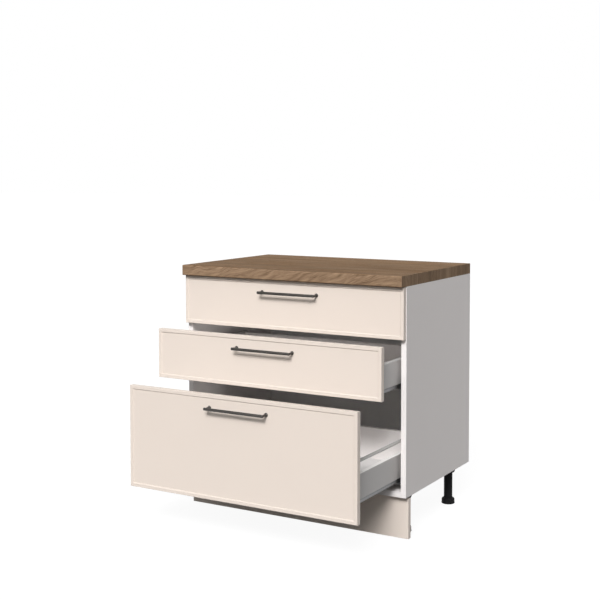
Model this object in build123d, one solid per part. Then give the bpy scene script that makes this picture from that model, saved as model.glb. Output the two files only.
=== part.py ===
from build123d import *
import os

# A kitchen base cabinet, 900 mm wide, with a worktop and three drawers, standing on four
# adjustable legs behind a plinth. Millimetres. X runs to the right as a person faces the
# fronts, Y runs to the back, Z runs up from the floor. The origin is on the floor, at mid
# width, in the middle of the depth that the cabinet takes with its drawers open as drawn.

# ------------------------------------------------------------------ driving dimensions
width = 900.0  # outer width of carcass and worktop
worktop_depth = 600.0
worktop_thickness = 38.0
worktop_edge_radius = 3.5  # upper and lower front edge
end_strip = 1.0  # edge strip on each end of the worktop
worktop_overhang = 38.5  # worktop in front of the carcass edge

carcass_height = 720.0
board = 19.0  # sides, bottom and top rails
top_rail_depth = 100.0
back_thickness = 3.0
back_inset = 10.0  # rear edge of the sides to the back panel
groove_depth = 8.0
panel_fit = 0.1  # play of a panel in its groove and of a pin in its hole
leg_height = 150.0  # floor to the underside of the carcass

front_thickness = 19.0
front_heights = (177.0, 177.0, 357.0)  # top to bottom
front_gap = 2.0  # between two fronts
front_top_reveal = 2.0  # underside of the worktop to the first front
front_side_reveal = 1.5
front_air = 1.5  # carcass edge to the back of a closed front
front_edge_radius = 1.2
border_width = 11.0  # raised border round the field of a front
bevel_width = 3.0
bevel_depth = 2.5

rest_openings = (0.0, 165.5, 331.0)  # how far each drawer stands open as drawn
drawer_length = 500.0
side_height = 86.0
side_thickness = 15.0  # double-walled metal side, over all
side_air = 13.0  # carcass side to drawer side
side_rises = (23.5, 23.5, 58.0)  # lower edge of a front to the underside of its drawer sides
sheet = 1.2  # steel sheet of the drawer sides and runners
side_bends = (2.0, 4.0, 4.0)  # outer bend radii of a side: foot, top outside, top inside
side_shelf = 12.0  # part of the side that carries the base, inward of the inner wall
base_thickness = 16.0
drawer_back_thickness = 16.0
drawer_back_heights = (61.8, 61.8, 110.0)  # above the base
rear_tab = 20.0  # lug of a side behind the drawer back
rear_tab_drop = 6.0  # upper edge of the drawer back to the top of the lug
rear_tab_radius = 4.0
fixing_play = 0.3  # front bracket inside the walls of a side
fixing_plate = 2.0
fixing_wall = 1.5
fixing_length = 45.0
fixing_drop = 8.0  # upper edge of a side to the top of its front bracket

handle_spacing = 224.0  # between the two screws
handle_drop = 45.0  # upper edge of a front to the middle of its handle
handle_reach = 24.0  # face of the front to the middle of the bar
handle_bar_diameter = 10.0
handle_overhang = 5.0  # bar past the middle of each post
handle_post_diameter = 8.5
handle_foot_diameter = 14.0
handle_foot_height = 1.6
handle_foot_flare = 5.0  # height at which the foot has narrowed to the post
handle_screw_diameter = 4.0
handle_thread = 10.0  # screw in the post
handle_bore = 12.0

gallery_rail_diameter = 11.0
gallery_rail_rise = 38.0  # upper edge of the side to the middle of the rail
gallery_holder_diameter = 19.0
gallery_holder_length = 12.0
gallery_socket_depth = 8.0
gallery_block_side = 8.5  # middle of the rail to the outer face of the rear block
gallery_block_radius = 4.0

leg_inset_side = 56.0  # outer face of the side panel to the middle of a leg
leg_inset_front = 108.0  # front edge of the carcass to the middle of the front legs
leg_inset_rear = 66.0
column_diameter = 32.0
column_wall = 3.5
foot_diameter = 50.0
foot_height = 22.0
foot_bevel = 5.0
foot_stem_diameter = 24.0
foot_stem_length = 60.0
foot_play = 0.3  # between the foot and the column that it turns in
foot_notches = 4  # round the rim, to turn it by
foot_notch_radius = 4.0
foot_notch_centre = 1.5  # rim to the middle of a notch, outward
foot_notch_rise = 4.0
socket_diameter = 54.0
socket_height = 30.0
socket_taper = (4.0, 10.0)  # narrower at the lower end by, over a height of
socket_spigot_diameter = 10.0  # pressed into the bottom panel
socket_spigot_length = 12.0
socket_bore_depth = 24.0

plinth_thickness = 18.0
plinth_setback = 23.5  # front edge of the carcass to the face of the plinth
plinth_side_inset = 1.0
plinth_floor_gap = 3.0
plinth_top_gap = 8.0
clip_track_height = 24.0
clip_track_depth = 10.0
clip_track_wall = 2.5
clip_track_lip = 6.0
clip_track_radius = 1.5
clip_track_length = 80.0
clip_track_end_gap = 20.0  # end of the plinth to the track
clip_track_rise = 34.0  # lower edge of the plinth to the track
clip_ring_wall = 3.0
clip_ring_height = 20.0
clip_mouth = 24.0  # opening of the ring
clip_arm_width = 18.0
clip_foot_width = 30.0

runner_length = 490.0
runner_offset = 1.0  # middle of a drawer side to the middle of its runner, inward
runner_screw_places = (37.0, 453.0)  # front edge of the carcass to the screws
runner_setback = 3.0  # front edge of the carcass to the front of a cabinet rail
middle_rail_length = 480.0
glide_length = 20.0
glide_second_place = 215.0  # front of a rail to its second glide
glide_play = 0.1
rail_half_width = 7.6  # half width of the drawer rail
rail_height = 11.5
rail_lip_opening = 4.9  # half of the slot under the drawer rail
drawer_rail_length = 495.0
middle_web_half = 5.4
middle_web_drop = 2.7  # underside of the drawer side to the top of the middle rail
middle_leg_half = 4.4  # outside of the legs of the middle rail
middle_drop = 13.0  # underside of the drawer side to the lower edge of the middle rail
middle_lip_opening = 1.6
tee_half = 2.4  # head of the cabinet rail
tee_stem_half = 1.0
tee_drop = 5.4  # underside of the drawer side to the top of the head
bracket_drop = 16.2  # underside of the drawer side to the underside of the cabinet rail
bracket_past_tee = 3.0  # foot of the tee to the edge of the shelf
bracket_bend = 2.2
bracket_wall_rise = 20.0  # cabinet rail's wall plate above the underside of the drawer side
bend = 1.6  # outer bend radius of narrow sheet profiles

screw_shank_diameter = 4.0
screw_shank_length = 13.0
screw_head_diameter = 8.0
screw_head_height = 2.2
worktop_screw_length = 38.0
dowel_diameter = 8.0
dowel_length = 30.0
dowel_in_side = 10.0
cam_diameter = 15.0
cam_height = 13.5
cam_distance = 24.0  # inner face of the side to the middle of the cam
cam_bolt_diameter = 6.0
cam_bolt_in_side = 11.0
bottom_dowel_place = 95.0  # front and rear edge of the bottom panel to its dowels
bottom_cam_places = (50.0, 140.0)  # front edge to the front cam, rear edge to the rear cam
rail_dowel_place = 70.0  # outer edge of a top rail to its dowel
rail_cam_place = 35.0

# ------------------------------------------------------------------ derived places
handle_projection = handle_reach + handle_bar_diameter / 2
face_setback = worktop_overhang - front_air - front_thickness
footprint_depth = worktop_depth - face_setback + max(rest_openings) + handle_projection
y_rear = footprint_depth / 2  # wall plane: rear edge of worktop and sides
y_worktop_front = y_rear - worktop_depth
y_carcass = y_worktop_front + worktop_overhang  # front edge of the carcass
y_closed_face = y_worktop_front + face_setback
y_back_panel = y_rear - back_inset - back_thickness
y_plinth_back = y_carcass + plinth_setback + plinth_thickness
z_clip_middle = plinth_floor_gap + clip_track_rise + clip_track_height / 2
z_carcass = leg_height
z_top = leg_height + carcass_height
x_side = width / 2
x_inner = x_side - board
hole_clearance = panel_fit  # round a pin or a screw
drawer_count = len(front_heights)
tee_thickness = sheet


def box_between(low, high):
    """A block from its lowest to its highest corner."""
    size = [high[i] - low[i] for i in range(3)]
    middle = [(high[i] + low[i]) / 2 for i in range(3)]
    return Pos(*middle) * Box(*size)


def both_sides(piece):
    """The right-hand piece and its mirror image on the left."""
    return [piece, mirror(piece, about=Plane.YZ)]


def rod(start, direction, length, diameter):
    """A round rod or hole from a point, along X, Y or Z."""
    base = Plane(origin=start, z_dir=direction)
    return extrude(base * Circle(diameter / 2), amount=length)


def along_y(profile, y_start, length):
    """Extrude a profile that is drawn in X and Z from y_start to the back."""
    placed = Pos(0, y_start, 0) * (Plane.XZ * profile)
    return extrude(placed, amount=length, dir=(0, 1, 0))


def bent_sheet(points, radii, side=Side.RIGHT, thickness=sheet):
    """Section of a bent sheet: one surface as a line with rounded corners, and its thickness."""
    line = FilletPolyline(*points, radius=radii)
    return make_face(offset(line, amount=thickness, side=side))


def cut_rectangle(low, high):
    """A rectangle from its lowest to its highest corner, in the plane of a section."""
    middle = ((low[0] + high[0]) / 2, (low[1] + high[1]) / 2)
    return Pos(*middle) * Rectangle(high[0] - low[0], high[1] - low[1])


def turned(points, place):
    """A turned piece from its half section, given as radius and height."""
    half = make_face(Polyline(*points, close=True))
    return Location(place) * revolve(Plane.XZ * half, Axis.Z)


def pan_screw(place, direction, shank_length):
    """A screw with a pan head; the head sits in front of the place, the shank behind it."""
    head = screw_head_diameter / 2
    shank = screw_shank_diameter / 2
    profile = Polyline(
        (0, screw_head_height),
        (head, screw_head_height),
        (head, 0),
        (shank, 0),
        (shank, -shank_length),
        (0, -shank_length),
        close=True,
    )
    screw = revolve(Plane.XZ * make_face(profile), Axis.Z)
    plane = Plane(origin=place, z_dir=direction)
    return plane.location * screw


# ------------------------------------------------------------------ places of repeated pieces
def front_bottom(number):
    """Height of the lower edge of a front, counted from the top."""
    above = sum(front_heights[: number + 1]) + number * front_gap
    return z_top - front_top_reveal - above


def side_bottom(number):
    """Height of the underside of a drawer's sides."""
    return front_bottom(number) + side_rises[number]


def box_front(number):
    """Place along Y where the drawer box meets the back of its front."""
    return y_closed_face - rest_openings[number] + front_thickness


def leg_places():
    """Names and floor positions of the four legs."""
    x_leg = x_side - leg_inset_side
    rows = {"front": y_carcass + leg_inset_front, "rear": y_rear - leg_inset_rear}
    places = {}
    for row, y in rows.items():
        for name, sign in (("left", -1), ("right", 1)):
            places[f"{row}_{name}"] = (sign * x_leg, y)
    return places


def side_joint_rows():
    """Places where a board meets the right side: Y of its dowels, Y of its cams, Z of its middle."""
    bottom_dowels = (y_carcass + bottom_dowel_place, y_back_panel - bottom_dowel_place)
    bottom_cams = (y_carcass + bottom_cam_places[0], y_back_panel - bottom_cam_places[1])
    rail_z = z_top - board / 2
    return [
        (bottom_dowels, bottom_cams, z_carcass + board / 2),
        ((y_carcass + rail_dowel_place,), (y_carcass + rail_cam_place,), rail_z),
        ((y_back_panel - rail_dowel_place,), (y_back_panel - rail_cam_place,), rail_z),
    ]


def runner_screw_rows(number):
    """Y and Z of the screws that hold the cabinet rails of one drawer."""
    z = side_bottom(number) + bracket_wall_rise / 2
    return [(y_carcass + place, z) for place in runner_screw_places]


def all_runner_screw_rows():
    return [row for number in range(drawer_count) for row in runner_screw_rows(number)]


def worktop_screw_places():
    """X and Y of the screws that hold the worktop from below."""
    rows = (y_carcass + top_rail_depth / 2, y_back_panel - top_rail_depth / 2)
    return [(sign * width / 4, y) for y in rows for sign in (-1, 1)]


# ------------------------------------------------------------------ carcass
def dowel_hole(y, z, length_side, length_board):
    start = (x_inner - length_board, y, z)
    return rod(start, (1, 0, 0), length_side + length_board, dowel_diameter + 2 * hole_clearance)


def right_side_panel():
    panel = box_between((x_inner, y_carcass, z_carcass), (x_side, y_rear, z_top))
    groove_low = (x_inner, y_back_panel - panel_fit, z_carcass)
    groove_high = (x_inner + groove_depth, y_back_panel + back_thickness + panel_fit, z_top)
    panel -= box_between(groove_low, groove_high)
    for dowel_rows, cam_rows, z in side_joint_rows():
        for y in dowel_rows:
            panel -= dowel_hole(y, z, dowel_in_side + panel_fit, 0)
        for y in cam_rows:
            hole = cam_bolt_diameter + 2 * hole_clearance
            panel -= rod((x_inner, y, z), (1, 0, 0), cam_bolt_in_side + panel_fit, hole)
    for y, z in all_runner_screw_rows():
        hole = screw_shank_diameter + 2 * hole_clearance
        panel -= rod((x_inner, y, z), (1, 0, 0), screw_shank_length, hole)
    return panel


def joint_board(low, high, row):
    """A board between the two sides, bored for the dowels and cams of one joint row."""
    piece = box_between(low, high)
    dowel_rows, cam_rows, z = row
    for y in dowel_rows:
        length = dowel_length - dowel_in_side + panel_fit
        for hole in both_sides(dowel_hole(y, z, 0, length)):
            piece -= hole
    for y in cam_rows:
        channel = rod(
            (x_inner - cam_distance, y, z),
            (1, 0, 0),
            cam_distance,
            cam_bolt_diameter + 2 * hole_clearance,
        )
        pocket = rod(
            (x_inner - cam_distance, y, low[2]),
            (0, 0, 1),
            cam_height + panel_fit,
            cam_diameter + 2 * hole_clearance,
        )
        for hole in both_sides(channel) + both_sides(pocket):
            piece -= hole
    return piece


def bottom_panel():
    row = side_joint_rows()[0]
    piece = joint_board(
        (-x_inner, y_carcass, z_carcass), (x_inner, y_back_panel, z_carcass + board), row
    )
    for x, y in leg_places().values():
        hole = socket_spigot_diameter + 2 * hole_clearance
        piece -= rod((x, y, z_carcass), (0, 0, 1), socket_spigot_length + panel_fit, hole)
    return piece


def top_rail(y_start, row):
    low = (-x_inner, y_start, z_top - board)
    piece = joint_board(low, (x_inner, y_start + top_rail_depth, z_top), row)
    for x, y in worktop_screw_places():
        if y_start < y < y_start + top_rail_depth:
            hole = screw_shank_diameter + 2 * hole_clearance
            piece -= rod((x, y, z_top - board), (0, 0, 1), board, hole)
    return piece


def back_panel():
    reach = x_inner + groove_depth - panel_fit
    return box_between(
        (-reach, y_back_panel, z_carcass), (reach, y_back_panel + back_thickness, z_top)
    )


def worktop():
    reach = x_side - end_strip
    top = z_top + worktop_thickness
    piece = box_between((-reach, y_worktop_front, z_top), (reach, y_rear, top))
    front_edges = piece.edges().filter_by(Axis.X).group_by(Axis.Y)[0]
    piece = fillet(front_edges, radius=worktop_edge_radius)
    for x, y in worktop_screw_places():
        hole = screw_shank_diameter + 2 * hole_clearance
        depth = worktop_screw_length - board
        piece -= rod((x, y, z_top), (0, 0, 1), depth, hole)
    return piece


def worktop_end_strips():
    top = z_top + worktop_thickness
    strip = box_between((x_side - end_strip, y_worktop_front, z_top), (x_side, y_rear, top))
    strip = fillet(strip.edges().filter_by(Axis.X).group_by(Axis.Y)[0], radius=worktop_edge_radius)
    return both_sides(strip)


def dowels():
    solids = []
    for dowel_rows, _, z in side_joint_rows():
        for y in dowel_rows:
            start = (x_inner + dowel_in_side - dowel_length, y, z)
            solids += both_sides(rod(start, (1, 0, 0), dowel_length, dowel_diameter))
    return solids


def cam_fittings():
    """Round cam housings let into the boards, and the bolts that they pull."""
    solids = []
    for _, cam_rows, z in side_joint_rows():
        for y in cam_rows:
            underside = z - board / 2
            x_cam = x_inner - cam_distance
            cam = rod((x_cam, y, underside), (0, 0, 1), cam_height, cam_diameter)
            bolt_start = x_cam + cam_diameter / 2 + hole_clearance
            length = x_inner + cam_bolt_in_side - bolt_start
            bolt = rod((bolt_start, y, z), (1, 0, 0), length, cam_bolt_diameter)
            solids += both_sides(cam) + both_sides(bolt)
    return solids


def carcass_screws():
    """The short screws that hold the cabinet rails to the sides."""
    solids = []
    for y, z in all_runner_screw_rows():
        screw = pan_screw((x_inner - sheet, y, z), (-1, 0, 0), screw_shank_length)
        solids += both_sides(screw)
    return solids


def worktop_screws():
    z = z_top - board
    return [pan_screw((x, y, z), (0, 0, -1), worktop_screw_length) for x, y in worktop_screw_places()]


# ------------------------------------------------------------------ legs and plinth
def leg_socket(x, y):
    """Cup with a spigot pressed into the bottom panel; the column plugs into it from below."""
    outer = socket_diameter / 2
    spigot = socket_spigot_diameter / 2
    low = z_carcass - socket_height
    piece = turned(
        (
            (0, low),
            (outer - socket_taper[0], low),
            (outer, low + socket_taper[1]),
            (outer, z_carcass),
            (spigot, z_carcass),
            (spigot, z_carcass + socket_spigot_length),
            (0, z_carcass + socket_spigot_length),
        ),
        (x, y, 0),
    )
    return piece - rod((x, y, low), (0, 0, 1), socket_bore_depth, column_diameter + 2 * panel_fit)


def leg_column(x, y):
    """Plain tube with a closed head, open below for the stem of the foot."""
    low = foot_height + foot_play
    high = z_carcass - socket_height + socket_bore_depth
    column = rod((x, y, low), (0, 0, 1), high - low, column_diameter)
    bore = column_diameter - 2 * column_wall
    return column - rod((x, y, low), (0, 0, 1), high - low - column_wall, bore)


def leg_foot(x, y):
    """Foot with a notched rim to turn it by, and a stem that turns in the column."""
    rim = foot_diameter / 2
    stem = foot_stem_diameter / 2
    piece = turned(
        (
            (0, 0),
            (rim, 0),
            (rim, foot_height - foot_bevel),
            (rim - foot_bevel, foot_height),
            (stem, foot_height),
            (stem, foot_height + foot_stem_length),
            (0, foot_height + foot_stem_length),
        ),
        (x, y, 0),
    )
    for place in PolarLocations(rim + foot_notch_centre, foot_notches):
        start = Pos(x, y, foot_notch_rise) * place
        piece -= rod(start.position, (0, 0, 1), foot_height, 2 * foot_notch_radius)
    return piece


def plinth_panel():
    reach = x_side - plinth_side_inset
    low = (-reach, y_plinth_back - plinth_thickness, plinth_floor_gap)
    high = (reach, y_plinth_back, z_carcass - plinth_top_gap)
    return box_between(low, high)


def clip_tracks():
    """Channel with two lips on the back of the plinth, near each end."""
    outer_y = y_plinth_back + clip_track_depth
    z_low = z_clip_middle - clip_track_height / 2
    z_high = z_clip_middle + clip_track_height / 2
    outline = RectangleRounded(clip_track_depth, clip_track_height, clip_track_radius)
    section = Pos(y_plinth_back + clip_track_depth / 2, z_clip_middle) * outline
    section -= cut_rectangle(
        (y_plinth_back + clip_track_wall, z_low + clip_track_wall),
        (outer_y - clip_track_wall, z_high - clip_track_wall),
    )
    section -= cut_rectangle(
        (outer_y - clip_track_wall, z_low + clip_track_lip), (outer_y, z_high - clip_track_lip)
    )
    start = x_side - plinth_side_inset - clip_track_end_gap - clip_track_length
    track = extrude(Pos(start, 0, 0) * (Plane.YZ * section), amount=clip_track_length)
    return both_sides(track)


def plinth_clips():
    """A ring snapped round each front leg, on an arm whose foot slides in the track."""
    x, y = leg_places()["front_right"]
    bore = column_diameter + 2 * panel_fit
    ring = Circle(bore / 2 + clip_ring_wall)
    ring -= Pos(0, bore / 2) * Rectangle(clip_mouth, bore)
    z_low = z_clip_middle - clip_ring_height / 2
    clip = extrude(Pos(x, y, z_low) * ring, amount=clip_ring_height)
    foot_y = y_plinth_back + clip_track_wall + panel_fit
    arm_half = clip_track_height / 2 - clip_track_lip - 2 * panel_fit
    clip += box_between(
        (x - clip_arm_width / 2, foot_y, z_clip_middle - arm_half),
        (x + clip_arm_width / 2, y, z_clip_middle + arm_half),
    )
    foot_half = clip_track_height / 2 - clip_track_wall - panel_fit
    foot_end = y_plinth_back + clip_track_depth - clip_track_wall - panel_fit
    clip += box_between(
        (x - clip_foot_width / 2, foot_y, z_clip_middle - foot_half),
        (x + clip_foot_width / 2, foot_end, z_clip_middle + foot_half),
    )
    clip -= rod((x, y, z_low), (0, 0, 1), clip_ring_height, bore)
    return both_sides(clip)


# ------------------------------------------------------------------ runners
def runner_middle():
    """Place across the cabinet of the middle of a runner."""
    return x_inner - side_air - side_thickness / 2 - runner_offset


def rail_section_at(section, number):
    """A runner section, drawn round the runner's middle, on the right of one drawer."""
    return Pos(runner_middle(), side_bottom(number)) * section


def tee_section():
    head = cut_rectangle((-tee_half, -tee_drop - tee_thickness), (tee_half, -tee_drop))
    stem_low = sheet - bracket_drop
    stem = cut_rectangle((-tee_stem_half, stem_low), (tee_stem_half, -tee_drop - tee_thickness))
    return head + stem


def middle_section():
    web_low = -middle_web_drop - sheet
    section = cut_rectangle((-middle_web_half, web_low), (middle_web_half, -middle_web_drop))
    for sign in (-1, 1):
        leg_x = sorted((sign * (middle_leg_half - sheet), sign * middle_leg_half))
        lip_x = sorted((sign * middle_lip_opening, sign * middle_leg_half))
        section += cut_rectangle((leg_x[0], -middle_drop), (leg_x[1], web_low))
        section += cut_rectangle((lip_x[0], -middle_drop), (lip_x[1], -middle_drop + sheet))
    return section


def cabinet_rail(number):
    """Wall plate and shelf bent from one sheet, with the tee-shaped rail on the shelf."""
    z = side_bottom(number)
    y_start = y_carcass + runner_setback
    low = z - bracket_drop
    plate = bent_sheet(
        (
            (x_inner, z + bracket_wall_rise),
            (x_inner, low),
            (runner_middle() - tee_stem_half - bracket_past_tee, low),
        ),
        bracket_bend,
    )
    piece = along_y(plate, y_start, runner_length)
    piece += along_y(rail_section_at(tee_section(), number), y_start, runner_length)
    for y, screw_z in runner_screw_rows(number):
        hole = screw_shank_diameter + 2 * hole_clearance
        piece -= rod((x_inner - sheet, y, screw_z), (1, 0, 0), sheet, hole)
    return piece


def glide_places(y_start):
    return (y_start, y_start + glide_second_place)


def cabinet_rail_glides():
    """Nylon sleeves on the head of the cabinet rails, which the middle rails slide on."""
    outer_half = middle_leg_half - sheet - 2 * glide_play
    low = -middle_drop + sheet + 2 * glide_play
    high = -middle_web_drop - sheet - glide_play
    section = cut_rectangle((-outer_half, low), (outer_half, high)) - tee_section()
    solids = []
    for number in range(drawer_count):
        for y in glide_places(y_carcass + runner_setback):
            placed = rail_section_at(section, number)
            solids += both_sides(along_y(placed, y, glide_length))
    return solids


def middle_start(number):
    """Front end of a middle rail: it runs half as far as its drawer."""
    return y_carcass + runner_setback - rest_openings[number] / 2


def middle_rails(number):
    placed = rail_section_at(middle_section(), number)
    return both_sides(along_y(placed, middle_start(number), middle_rail_length))


def middle_glides(number):
    """Nylon saddles on the middle rail, inside the drawer rail."""
    outer_half = rail_half_width - sheet - 2 * glide_play
    low = -rail_height + sheet + 2 * glide_play
    high = -sheet - glide_play
    section = cut_rectangle((-outer_half, low), (outer_half, high))
    section -= cut_rectangle(
        (-middle_web_half, -middle_web_drop - sheet), (middle_web_half, -middle_web_drop)
    )
    section -= cut_rectangle((-middle_leg_half, low), (middle_leg_half, -middle_web_drop))
    solids = []
    for y in glide_places(middle_start(number)):
        solids += both_sides(along_y(rail_section_at(section, number), y, glide_length))
    return solids


def drawer_rails(number):
    """Channel under each drawer side, open below, with two lips that hold it down."""
    half = rail_half_width
    section = bent_sheet(
        (
            (-rail_lip_opening, -rail_height),
            (-half, -rail_height),
            (-half, 0),
            (half, 0),
            (half, -rail_height),
            (rail_lip_opening, -rail_height),
        ),
        bend,
    )
    placed = rail_section_at(section, number)
    return both_sides(along_y(placed, box_front(number) + front_air, drawer_rail_length))


# ------------------------------------------------------------------ drawers
def drawer_side(number):
    """Double-walled side of one sheet: shelf, outer wall, rounded top, inner wall, rear lug."""
    outer = x_inner - side_air
    inner = outer - side_thickness
    z = side_bottom(number)
    base_top = z + sheet + base_thickness
    section = bent_sheet(
        (
            (inner - side_shelf, z),
            (outer, z),
            (outer, z + side_height),
            (inner, z + side_height),
            (inner, base_top),
        ),
        side_bends,
        side=Side.LEFT,
    )
    piece = along_y(section, box_front(number), drawer_length)
    lug_high = min(base_top + drawer_back_heights[number], z + side_height) - rear_tab_drop
    lug = box_between(
        (inner - rear_tab, box_front(number) + drawer_length, base_top),
        (outer, box_front(number) + drawer_length + sheet, lug_high),
    )
    lug = fillet(lug.edges().filter_by(Axis.Y).group_by(Axis.X)[0], radius=rear_tab_radius)
    return piece + lug


def drawer_base(number):
    reach = x_inner - side_air - side_bends[0]
    z = side_bottom(number) + sheet
    y = box_front(number)
    return box_between((-reach, y, z), (reach, y + drawer_length, z + base_thickness))


def drawer_back(number):
    reach = x_inner - side_air - side_thickness
    z = side_bottom(number) + sheet + base_thickness
    y = box_front(number) + drawer_length
    high = z + drawer_back_heights[number]
    return box_between((-reach, y - drawer_back_thickness, z), (reach, y, high))


def drawer_front(number):
    """Front with a raised border: the field is set back behind a bevel."""
    height = front_heights[number]
    front_width = width - 2 * front_side_reveal
    y_face = box_front(number) - front_thickness
    z_low = front_bottom(number)
    middle = (0, y_face, z_low + height / 2)
    front = box_between(
        (-front_width / 2, y_face, z_low),
        (front_width / 2, y_face + front_thickness, z_low + height),
    )
    front = fillet(front.faces().sort_by(Axis.Y)[0].edges(), radius=front_edge_radius)
    wide = Rectangle(front_width - 2 * border_width, height - 2 * border_width)
    inset = 2 * (border_width + bevel_width)
    narrow = Rectangle(front_width - inset, height - inset)
    face = Plane(origin=middle, x_dir=(1, 0, 0), z_dir=(0, 1, 0))
    field = loft([face * wide, face.offset(bevel_depth) * narrow])
    front -= field
    z_handle = handle_height(number)
    for x in (-handle_spacing / 2, handle_spacing / 2):
        hole = handle_screw_diameter + 2 * hole_clearance
        front -= rod((x, y_face, z_handle), (0, 1, 0), front_thickness, hole)
    return front


def front_brackets(number):
    """Channel inside the front end of each side, flat against the back of the front."""
    outer = x_inner - side_air - sheet - fixing_play
    inner = x_inner - side_air - side_thickness + sheet + fixing_play
    z = side_bottom(number)
    y = box_front(number)
    low = z + sheet + base_thickness + fixing_plate
    high = z + side_height - fixing_drop
    bracket = box_between((inner, y, low), (outer, y + fixing_plate, high))
    for wall in ((inner, inner + fixing_wall), (outer - fixing_wall, outer)):
        bracket += box_between((wall[0], y, low), (wall[1], y + fixing_length, high))
    return both_sides(bracket)


def handle_height(number):
    return front_bottom(number) + front_heights[number] - handle_drop


def field_face(number):
    """Place along Y of the field that the handle stands on."""
    return box_front(number) - front_thickness + bevel_depth


def handle(number):
    """Round bar on two turned posts with flared feet."""
    z = handle_height(number)
    y_field = field_face(number)
    y_bar = box_front(number) - front_thickness - handle_reach
    length = handle_spacing + 2 * handle_overhang
    bar = rod((-length / 2, y_bar, z), (1, 0, 0), length, handle_bar_diameter)
    foot = handle_foot_diameter / 2
    neck = handle_post_diameter / 2
    reach = y_field - y_bar
    half = make_face(
        Polyline(
            (0, 0),
            (foot, 0),
            (foot, handle_foot_height),
            (neck, handle_foot_flare),
            (neck, reach),
            (0, reach),
            close=True,
        )
    )
    post = revolve(Plane.XZ * half, Axis.Z)
    shank = handle_screw_diameter + 2 * hole_clearance
    for x in (-handle_spacing / 2, handle_spacing / 2):
        place = Plane(origin=(x, y_field, z), z_dir=(0, -1, 0))
        bar += place.location * post
    for x in (-handle_spacing / 2, handle_spacing / 2):
        bar -= rod((x, y_field, z), (0, -1, 0), handle_bore, shank)
    return bar


def handle_screws(number):
    y = box_front(number)
    z = handle_height(number)
    length = front_thickness - bevel_depth + handle_thread
    places = ((-handle_spacing / 2, y, z), (handle_spacing / 2, y, z))
    return [pan_screw(place, (0, 1, 0), length) for place in places]


def gallery_line(number):
    """X and Z of the gallery rail on the right."""
    x = x_inner - side_air - side_thickness / 2
    return x, side_bottom(number) + side_height + gallery_rail_rise


def gallery_rails(number):
    x, z = gallery_line(number)
    start = box_front(number) + gallery_holder_length - gallery_socket_depth
    end = box_front(number) + drawer_length - drawer_back_thickness + gallery_socket_depth
    rail = rod((x, start, z), (0, 1, 0), end - start, gallery_rail_diameter)
    bore = rod((x, start, z), (0, 1, 0), end - start, gallery_rail_diameter - 2 * sheet)
    return both_sides(rail - bore)


def gallery_holders(number):
    """Cup on the front, and block on the end of the drawer back, that hold the rail's ends."""
    x, z = gallery_line(number)
    y = box_front(number)
    bore = gallery_rail_diameter + 2 * panel_fit
    cup = rod((x, y, z), (0, 1, 0), gallery_holder_length, gallery_holder_diameter)
    open_end = y + gallery_holder_length - gallery_socket_depth
    cup -= rod((x, open_end, z), (0, 1, 0), gallery_socket_depth, bore)
    rear = y + drawer_length
    half = gallery_holder_diameter / 2
    block = box_between(
        (x_inner - side_air - side_thickness, rear - drawer_back_thickness, z - half),
        (x + gallery_block_side, rear, z + half),
    )
    corners = block.edges().filter_by(Axis.Y).group_by(Axis.X)[-1]
    block = fillet(corners, radius=gallery_block_radius)
    block -= rod((x, rear - drawer_back_thickness, z), (0, 1, 0), gallery_socket_depth, bore)
    return both_sides(cup) + both_sides(block)


# ------------------------------------------------------------------ write one file per node
def nodes():
    """Every node of the model: its name and its solid or group of solids."""
    front_row, rear_row = side_joint_rows()[1:]
    right = right_side_panel()
    yield "worktop", worktop()
    yield "worktop_end_strips", worktop_end_strips()
    yield "side_panel_right", right
    yield "side_panel_left", mirror(right, about=Plane.YZ)
    yield "bottom_panel", bottom_panel()
    yield "back_panel", back_panel()
    yield "front_top_rail", top_rail(y_carcass, front_row)
    yield "rear_top_rail", top_rail(y_back_panel - top_rail_depth, rear_row)
    yield "dowels", dowels()
    yield "cam_fittings", cam_fittings()
    yield "carcass_screws", carcass_screws()
    yield "worktop_screws", worktop_screws()
    yield "leg_sockets", [leg_socket(x, y) for x, y in leg_places().values()]
    yield "leg_columns", [leg_column(x, y) for x, y in leg_places().values()]
    for name, (x, y) in leg_places().items():
        yield f"leg_foot_{name}", leg_foot(x, y)
    yield "plinth_panel", plinth_panel()
    yield "plinth_clip_tracks", clip_tracks()
    yield "plinth_clips", plinth_clips()
    yield "cabinet_rail_glides", cabinet_rail_glides()
    for number in range(drawer_count):
        drawer = f"drawer_{number + 1}"
        side = drawer_side(number)
        yield f"{drawer}_cabinet_rails", both_sides(cabinet_rail(number))
        yield f"{drawer}_middle_rails", middle_rails(number)
        yield f"{drawer}_middle_glides", middle_glides(number)
        yield f"{drawer}_rails", drawer_rails(number)
        yield f"{drawer}_front", drawer_front(number)
        yield f"{drawer}_handle", handle(number)
        yield f"{drawer}_handle_screws", handle_screws(number)
        yield f"{drawer}_side_right", side
        yield f"{drawer}_side_left", mirror(side, about=Plane.YZ)
        yield f"{drawer}_base", drawer_base(number)
        yield f"{drawer}_back", drawer_back(number)
        yield f"{drawer}_front_brackets", front_brackets(number)
    last = drawer_count - 1
    yield f"drawer_{last + 1}_gallery_rails", gallery_rails(last)
    yield f"drawer_{last + 1}_gallery_holders", gallery_holders(last)


os.makedirs("parts", exist_ok=True)
written = 0
for node_name, shape in nodes():
    solids = []
    for piece in shape if isinstance(shape, list) else [shape]:
        solids += piece.solids()
    body = solids[0] if len(solids) == 1 else Compound(children=solids)
    body.label = node_name
    export_step(body, f"parts/{node_name}.step")
    written += 1
print(written, "nodes, footprint depth", round(footprint_depth, 1))
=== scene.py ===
# %% [markdown]
# # A kitchen base cabinet with three drawers
#
# The cabinet was modelled as real boards, folded steel and plastic parts, and packed as a fixed
# frame. This lesson gives it its looks: camera, light, finishes, and finer versions of the few
# pieces whose detail is too small for the workshop model.

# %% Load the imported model
import math

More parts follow.
